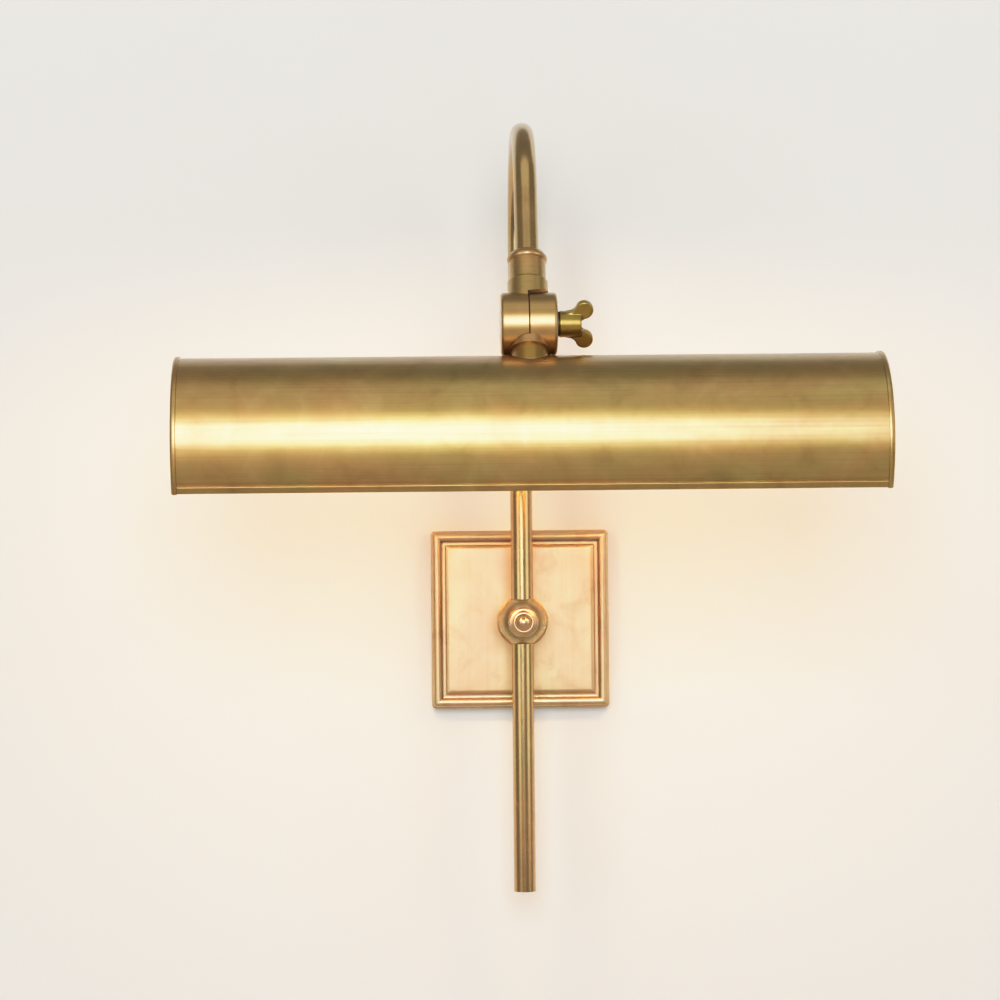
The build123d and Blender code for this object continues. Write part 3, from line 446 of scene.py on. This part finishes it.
# The plate's back is flat here. The CAD part has a pocket behind the panel, so this mesh is twice as
# thick there and reaches into the terminal block, out of sight.
plate_back = plate_base - plate_sheet
plate_rings = [plate_circle(plate_hole, plate_back), plate_loop(20.0 * MM, plate_back)]
plate_rings += [plate_loop(plate_sheet, plate_back), plate_loop(plate_sheet, 0.0)]
plate_rings += [plate_loop(inset, height) for inset, height in plate_profile()]
plate_rings += [plate_circle(12.0 * MM, plate_panel), plate_circle(plate_hole, plate_panel)]
plate_mesh = tidy_mesh(grid_mesh("backplate_fine", plate_rings, closed_loop=True), 38.0)
add_piece("backplate_fine", plate_mesh, "base", [plate_brass], ["backplate"])
add_piece("ball_fine", finer("ball", 0.35 * MM), "base", [ball_brass], ["ball"])
add_piece("plate_nut_fine", finer("plate_nut", 0.3 * MM), "base", [ball_brass], ["plate_nut"])

# ---- Clamp knob: a turned knob with a milled ring and a domed button -------------------------------
# It is solid here. The CAD part has a blind bore in which its stud sits.

knob_low, knob_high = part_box("clamp_knob")
knob_back = -knob_high.y
knob_front = -knob_low.y
knob_radius = knob_high.x
milled_teeth = 54
points_per_tooth = 4
tooth_height = 0.11 * MM
shank_length = 2.6 * MM
shank_radius = 4.4 * MM
rim_width = 5.0 * MM
rim_round = 1.1 * MM
step_width = 2.2 * MM
button_radius = 4.4 * MM
round_steps = 12


def knob_profile():
    """The knob's outline from back to front: (distance from the wall, radius, 1 where it is milled)."""
    rim_back = knob_back + shank_length
    rim_front = rim_back + rim_width
    step_front = rim_front + step_width
    points = [(knob_back, 0.0, 0), (knob_back, 4.0 * MM, 0), (knob_back + 0.3 * MM, shank_radius, 0)]
    points += [(rim_back - 0.4 * MM, shank_radius, 0), (rim_back, 4.8 * MM, 0)]
    for i in range(round_steps + 1):
        turn = math.pi * (i / round_steps - 0.5)
        points.append((
            (rim_back + rim_front) / 2 + rim_width / 2 * math.sin(turn),
            knob_radius - rim_round + rim_round * math.cos(turn) ** 0.8,
            0,
        ))
    points += [(rim_front, 6.75 * MM, 0), (rim_front + 0.12 * MM, 6.45 * MM, 0)]
    points += [(rim_front + 0.25 * MM, 6.15 * MM, 1), (rim_front + 0.9 * MM, 6.1 * MM, 1)]
    points += [(step_front - 0.7 * MM, 6.0 * MM, 1), (step_front - 0.35 * MM, 5.8 * MM, 0)]
    points += [(step_front - 0.08 * MM, 5.45 * MM, 0), (step_front, 5.05 * MM, 0)]
    points += [(step_front - 0.04 * MM, 4.62 * MM, 0), (step_front - 0.3 * MM, 4.45 * MM, 0)]
    dome = knob_front - step_front
    sphere = (button_radius**2 + dome**2) / (2 * dome)
    for i in range(round_steps + 1):
        turn = math.asin(button_radius / sphere) * (1 - i / round_steps)
        points.append((knob_front - sphere + sphere * math.cos(turn), sphere * math.sin(turn), 0))
    return points


knob_rings = []
sides = milled_teeth * points_per_tooth
for reach, radius, milled in knob_profile():
    ring = []
    for k in range(sides):
        turn = 2 * math.pi * k / sides
        tooth = tooth_height * math.cos(milled_teeth * turn) if milled else 0.0
        ring.append(((radius + tooth) * math.cos(turn), -reach, (radius + tooth) * math.sin(turn)))
    knob_rings.append(ring)
knob_mesh = tidy_mesh(grid_mesh("clamp_knob_fine", knob_rings))
add_piece("clamp_knob_fine", knob_mesh, "clamp", [knob_brass], ["clamp_knob"])

# ---- Knuckle ---------------------------------------------------------------------------------------

pivot = Vector(joints["shade_tilt"]["pos_m"])
barrel_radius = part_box("friction_ring")[1].z - pivot.z


def two_finishes(mesh, test):
    """Give the faces that pass the test the second finish."""
    for face in mesh.polygons:
        if test(face.center):
            face.material_index = 1


upper_mesh = finer("upper_knuckle", 0.35 * MM)
collar_lean = math.radians(22.0)
collar_way = Vector((0, math.sin(collar_lean), math.cos(collar_lean)))
two_finishes(upper_mesh, lambda c: (c - pivot).dot(collar_way) > barrel_radius)
upper_finishes = [knuckle_brass, collar_brass]
add_piece("upper_knuckle_fine", upper_mesh, "rod", upper_finishes, ["upper_knuckle"])
lower_mesh = finer("lower_knuckle", 0.3 * MM)
add_piece("lower_knuckle_fine", lower_mesh, "shade", [knuckle_brass], ["lower_knuckle"])
foot_mesh = finer("shade_foot", 0.3 * MM)
# The foot takes the darker brass: painted shade.
add_piece("shade_foot_fine", foot_mesh, "shade", [shadow_darkened_brass], ["shade_foot"])


def cast_wing_nut():
    """The wing nut as a casting: its rough form is remeshed and smoothed, so its wings blend in."""
    mesh = nodes["wing_nut"].data.copy()
    holder = bpy.data.objects.new("wing_work", mesh)
    scene.collection.objects.link(holder)
    remesh = holder.modifiers.new("remesh", "REMESH")
    remesh.mode = "VOXEL"
    remesh.voxel_size = 0.25 * MM
    smooth = holder.modifiers.new("smooth", "SMOOTH")
    smooth.factor = 0.6
    smooth.iterations = 16
    graph = bpy.context.evaluated_depsgraph_get()
    result = bpy.data.meshes.new_from_object(holder.evaluated_get(graph), depsgraph=graph)
    bpy.data.objects.remove(holder)
    result.name = "wing_nut_cast"
    for face in result.polygons:
        face.use_smooth = True
    return result


add_piece("wing_nut_cast", cast_wing_nut(), "wing", [shadow_darkened_brass], ["wing_nut"])

# ---- Shade -----------------------------------------------------------------------------------------

shell_low, shell_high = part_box("shade_shell")
cap_low, cap_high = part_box("end_cap_right")
shade_turn = math.radians(36.0)
hem_stand = shell_low.y - cap_low.y
shade_radius = (shell_high.z - shell_low.z - hem_stand * math.sin(shade_turn)) / (1 + math.sin(shade_turn))
shade_y = shell_low.y + shade_radius
shade_z = shell_high.z - shade_radius
shade_sheet = 1.0 * MM
half_length = cap_high.x
cap_sheet = 0.8 * MM
cap_flange = 2.8 * MM
cap_steps = 128
hem_height = 4.1 * MM
hem_lip = 0.38 * MM
hem_end = cap_low.x
hem_start_gap = 0.05 * MM
hem_reach_outside = 6.5 * MM
hem_reach_inside = 6.0 * MM
fold_steps = 10
lip_steps = 4
outside_steps = 110
inside_steps = 80
length_steps = 150
dent_ease = 0.02


def hem_points():
    """The folded edge from the inside of the sheet to the outside: (distance from edge, offset)."""
    fold = (shade_sheet + hem_stand) / 2
    top = shade_sheet + hem_stand
    points = [(hem_reach_inside, 0.0), (2.5 * MM, 0.0)]
    for i in range(fold_steps + 1):
        turn = math.pi * i / fold_steps
        points.append((fold - fold * math.sin(turn), fold - fold * math.cos(turn)))
    points += [(2.0 * MM, top), (3.2 * MM, top)]
    for i in range(lip_steps + 1):
        turn = math.pi / 2 * i / lip_steps
        points.append((
            hem_height - hem_lip + hem_lip * math.sin(turn),
            top - hem_lip + hem_lip * math.cos(turn),
        ))
    points += [(hem_height, shade_sheet - 0.05 * MM), (hem_height + 0.12 * MM, shade_sheet - 0.16 * MM)]
    points += [(hem_height + 0.34 * MM, shade_sheet - 0.03 * MM), (hem_reach_outside, shade_sheet)]
    return points


def shade_outline(hemmed):
    """The shell's closed outline, with or without the hems: (radius, angle)."""
    inner = shade_radius - shade_sheet
    hem = [(distance, offset if hemmed else min(offset, shade_sheet)) for distance, offset in hem_points()]
    outline = []
    for distance, offset in hem:
        outline.append((inner + offset, shade_turn + math.pi - distance / shade_radius))
    start = shade_turn + math.pi - hem_reach_outside / shade_radius
    end = shade_turn + hem_reach_outside / shade_radius
    for i in range(1, outside_steps):
        outline.append((shade_radius, start + (end - start) * i / outside_steps))
    for distance, offset in reversed(hem):
        outline.append((inner + offset, shade_turn + distance / shade_radius))
    start = shade_turn + hem_reach_inside / shade_radius
    end = shade_turn + math.pi - hem_reach_inside / shade_radius
    for i in range(1, inside_steps):
        outline.append((inner, start + (end - start) * i / inside_steps))
    return outline


def shade_dent(x, angle):
    """How far the rolled sheet lies inside a true cylinder: always inward, under a fifth of a millimetre."""
    slow = noise.noise(Vector((x * 7.0, angle * 0.9, 3.1)))
    quick = noise.noise(Vector((x * 26.0, angle * 2.2, 8.7)))
    ease = min(1.0, (half_length - abs(x)) / dent_ease)
    return (0.085 * (1 + slow) + 0.012 * (1 + quick)) * MM * max(0.0, ease)


# The hems stop where the end caps lap the shell. The shell is closed here. The CAD part has a hole
# for the foot's tail, which the foot and the washer cover from both sides.
stations = [(-half_length + cap_sheet, False), (-hem_end, False), (-hem_end + hem_start_gap, True)]
for i in range(1, length_steps):
    stations.append((-hem_end + 2 * hem_end * i / length_steps, True))
stations += [(hem_end - hem_start_gap, True), (hem_end, False), (half_length - cap_sheet, False)]
shell_rings = []
outlines = {True: shade_outline(True), False: shade_outline(False)}
for x, hemmed in stations:
    ring = []
    for radius, angle in outlines[hemmed]:
        radius -= shade_dent(x, angle)
        ring.append((x, shade_y + radius * math.cos(angle), shade_z + radius * math.sin(angle)))
    shell_rings.append(ring)
shell_mesh = tidy_mesh(grid_mesh("shade_shell_fine", shell_rings), 50.0, True)
inner_limit = shade_radius - 0.55 * shade_sheet
two_finishes(shell_mesh, lambda c: math.hypot(c.y - shade_y, c.z - shade_z) < inner_limit)
shell_finishes = [shade_brass, shade_inside_brass]
add_piece("shade_shell_fine", shell_mesh, "shade", shell_finishes, ["shade_shell"])


def cap_outline():
    """An end cap's section: (distance in from its outer face, radius)."""
    outer = shade_radius + hem_stand
    rim = 1.45 * MM
    rim_steps = 8
    points = [(0.0, 0.0), (0.0, outer * 0.5), (0.0, outer - 3.0 * MM)]
    for i in range(rim_steps + 1):
        turn = math.pi / 2 * i / rim_steps
        points.append((rim - rim * math.cos(turn), outer - rim + rim * math.sin(turn)))
    points += [(2.45 * MM, outer), (2.68 * MM, outer - 0.06 * MM), (cap_flange, outer - 0.25 * MM)]
    points += [(cap_flange, shade_radius + 0.02 * MM), (0.9 * MM, shade_radius + 0.02 * MM)]
    points += [(cap_sheet, shade_radius - 0.1 * MM), (cap_sheet, outer * 0.5), (cap_sheet, 0.0)]
    return points


for side, word in ((-1, "left"), (1, "right")):
    cap_rings = []
    for i in range(cap_steps + 1):
        angle = shade_turn + math.pi * i / cap_steps
        cap_rings.append([
            (
                side * (half_length - depth),
                shade_y + radius * math.cos(angle),
                shade_z + radius * math.sin(angle),
            )
            for depth, radius in cap_outline()
        ])
    cap_mesh = tidy_mesh(grid_mesh(f"end_cap_{word}_fine", cap_rings), 40.0, True)
    add_piece(f"end_cap_{word}_fine", cap_mesh, "shade", [shade_brass], [f"end_cap_{word}"])

# ---- Stage and light -------------------------------------------------------------------------------


def paint(name, colour, second):
    """A matt paint that is seen from its front only, so that views from behind or below see the light."""
    g = Graph(name)
    grain = g.noise(300.0, 4.0, 0.6)
    tone = g.mix(g.spread(g.noise(3.0, 3.0), 0.35, 0.65), colour, second)
    material = g.finish(tone, g.spread(grain, 0.3, 0.7, 0.82, 0.92), g.bump(grain, 0.00003))
    clear = g.tree.nodes.new("ShaderNodeBsdfTransparent")
    choose = g.tree.nodes.new("ShaderNodeMixShader")
    facing = g.tree.nodes.new("ShaderNodeNewGeometry")
    g.tree.links.new(facing.outputs["Backfacing"], choose.inputs[0])
    g.tree.links.new(g.shader.outputs[0], choose.inputs[1])
    g.tree.links.new(clear.outputs[0], choose.inputs[2])
    g.tree.links.new(choose.outputs[0], g.tree.nodes["Material Output"].inputs[0])
    return material


def stage_mesh(name, verts, faces, material):
    mesh = bpy.data.meshes.new(name)
    mesh.from_pydata(verts, [], faces)
    mesh.materials.append(material)
    piece = bpy.data.objects.new(name, mesh)
    scene.collection.objects.link(piece)


def wall_loop(low_x, low_z, high_x, high_z):
    return [(x, wall_y, z) for x, z in ((low_x, low_z), (high_x, low_z), (high_x, high_z), (low_x, high_z))]


wall_y = 0.0002
wide = 3.2
wall_top = 0.375
hole_half = 0.044
floor_z = -0.9
wall_verts = wall_loop(-wide, floor_z, wide, wall_top)
wall_verts += wall_loop(-hole_half, -hole_half, hole_half, hole_half)
wall_faces = [(0, 1, 5, 4), (1, 2, 6, 5), (2, 3, 7, 6), (3, 0, 4, 7)]
wall_paint = paint("wall_paint", (0.80, 0.795, 0.765), (0.81, 0.81, 0.785))
stage_mesh("wall", wall_verts, wall_faces, wall_paint)
floor_verts = [
    (-wide, -2 * wide, floor_z), (wide, -2 * wide, floor_z),
    (wide, 2 * wide, floor_z), (-wide, 2 * wide, floor_z),
]
floor_paint = paint("floor_paint", (0.62, 0.61, 0.58), (0.58, 0.57, 0.54))
stage_mesh("floor", floor_verts, [(0, 1, 2, 3)], floor_paint)

aim = Vector((0.0, -0.15, 0.08))


def softbox(name, azimuth_degrees, elevation_degrees, distance, width, height, radiance, colour):
    """A soft rectangular light, placed by its direction as seen from the object's front."""
    azimuth = math.radians(azimuth_degrees)
    elevation = math.radians(elevation_degrees)
    away = Vector((
        math.sin(azimuth) * math.cos(elevation),
        -math.cos(azimuth) * math.cos(elevation),
        math.sin(elevation),
    ))
    data = bpy.data.lights.new(name, "AREA")
    data.shape = "RECTANGLE"
    data.size = width
    data.size_y = height
    data.energy = radiance * math.pi * width * height
    data.color = colour
    light = bpy.data.objects.new(name, data)
    light.location = aim + away * distance
    light.rotation_euler = (-away).to_track_quat("-Z", "Y").to_euler()
    light.visible_camera = False
    scene.collection.objects.link(light)


softbox("front_light", -2.6, 12.5, 2.6, 1.12, 1.30, 7.0, (1.0, 0.965, 0.985))
softbox("left_light", -41.0, 12.0, 2.6, 1.1, 2.0, 1.7, (1.0, 0.97, 0.93))
softbox("right_light", 56.0, 12.0, 2.6, 1.4, 2.0, 1.5, (1.0, 0.98, 0.95))
softbox("ceiling_light", 0.0, 67.0, 2.6, 3.0, 1.7, 0.55, (1.0, 0.98, 0.95))
softbox("rear_light", 150.0, 20.0, 2.6, 2.2, 2.2, 1.0, (1.0, 1.0, 1.0))

world = bpy.data.worlds.new("world")
scene.world = world
world.use_nodes = True
background = world.node_tree.nodes["Background"]
background.inputs["Color"].default_value = (0.95, 0.95, 0.86, 1.0)
background.inputs["Strength"].default_value = 0.34
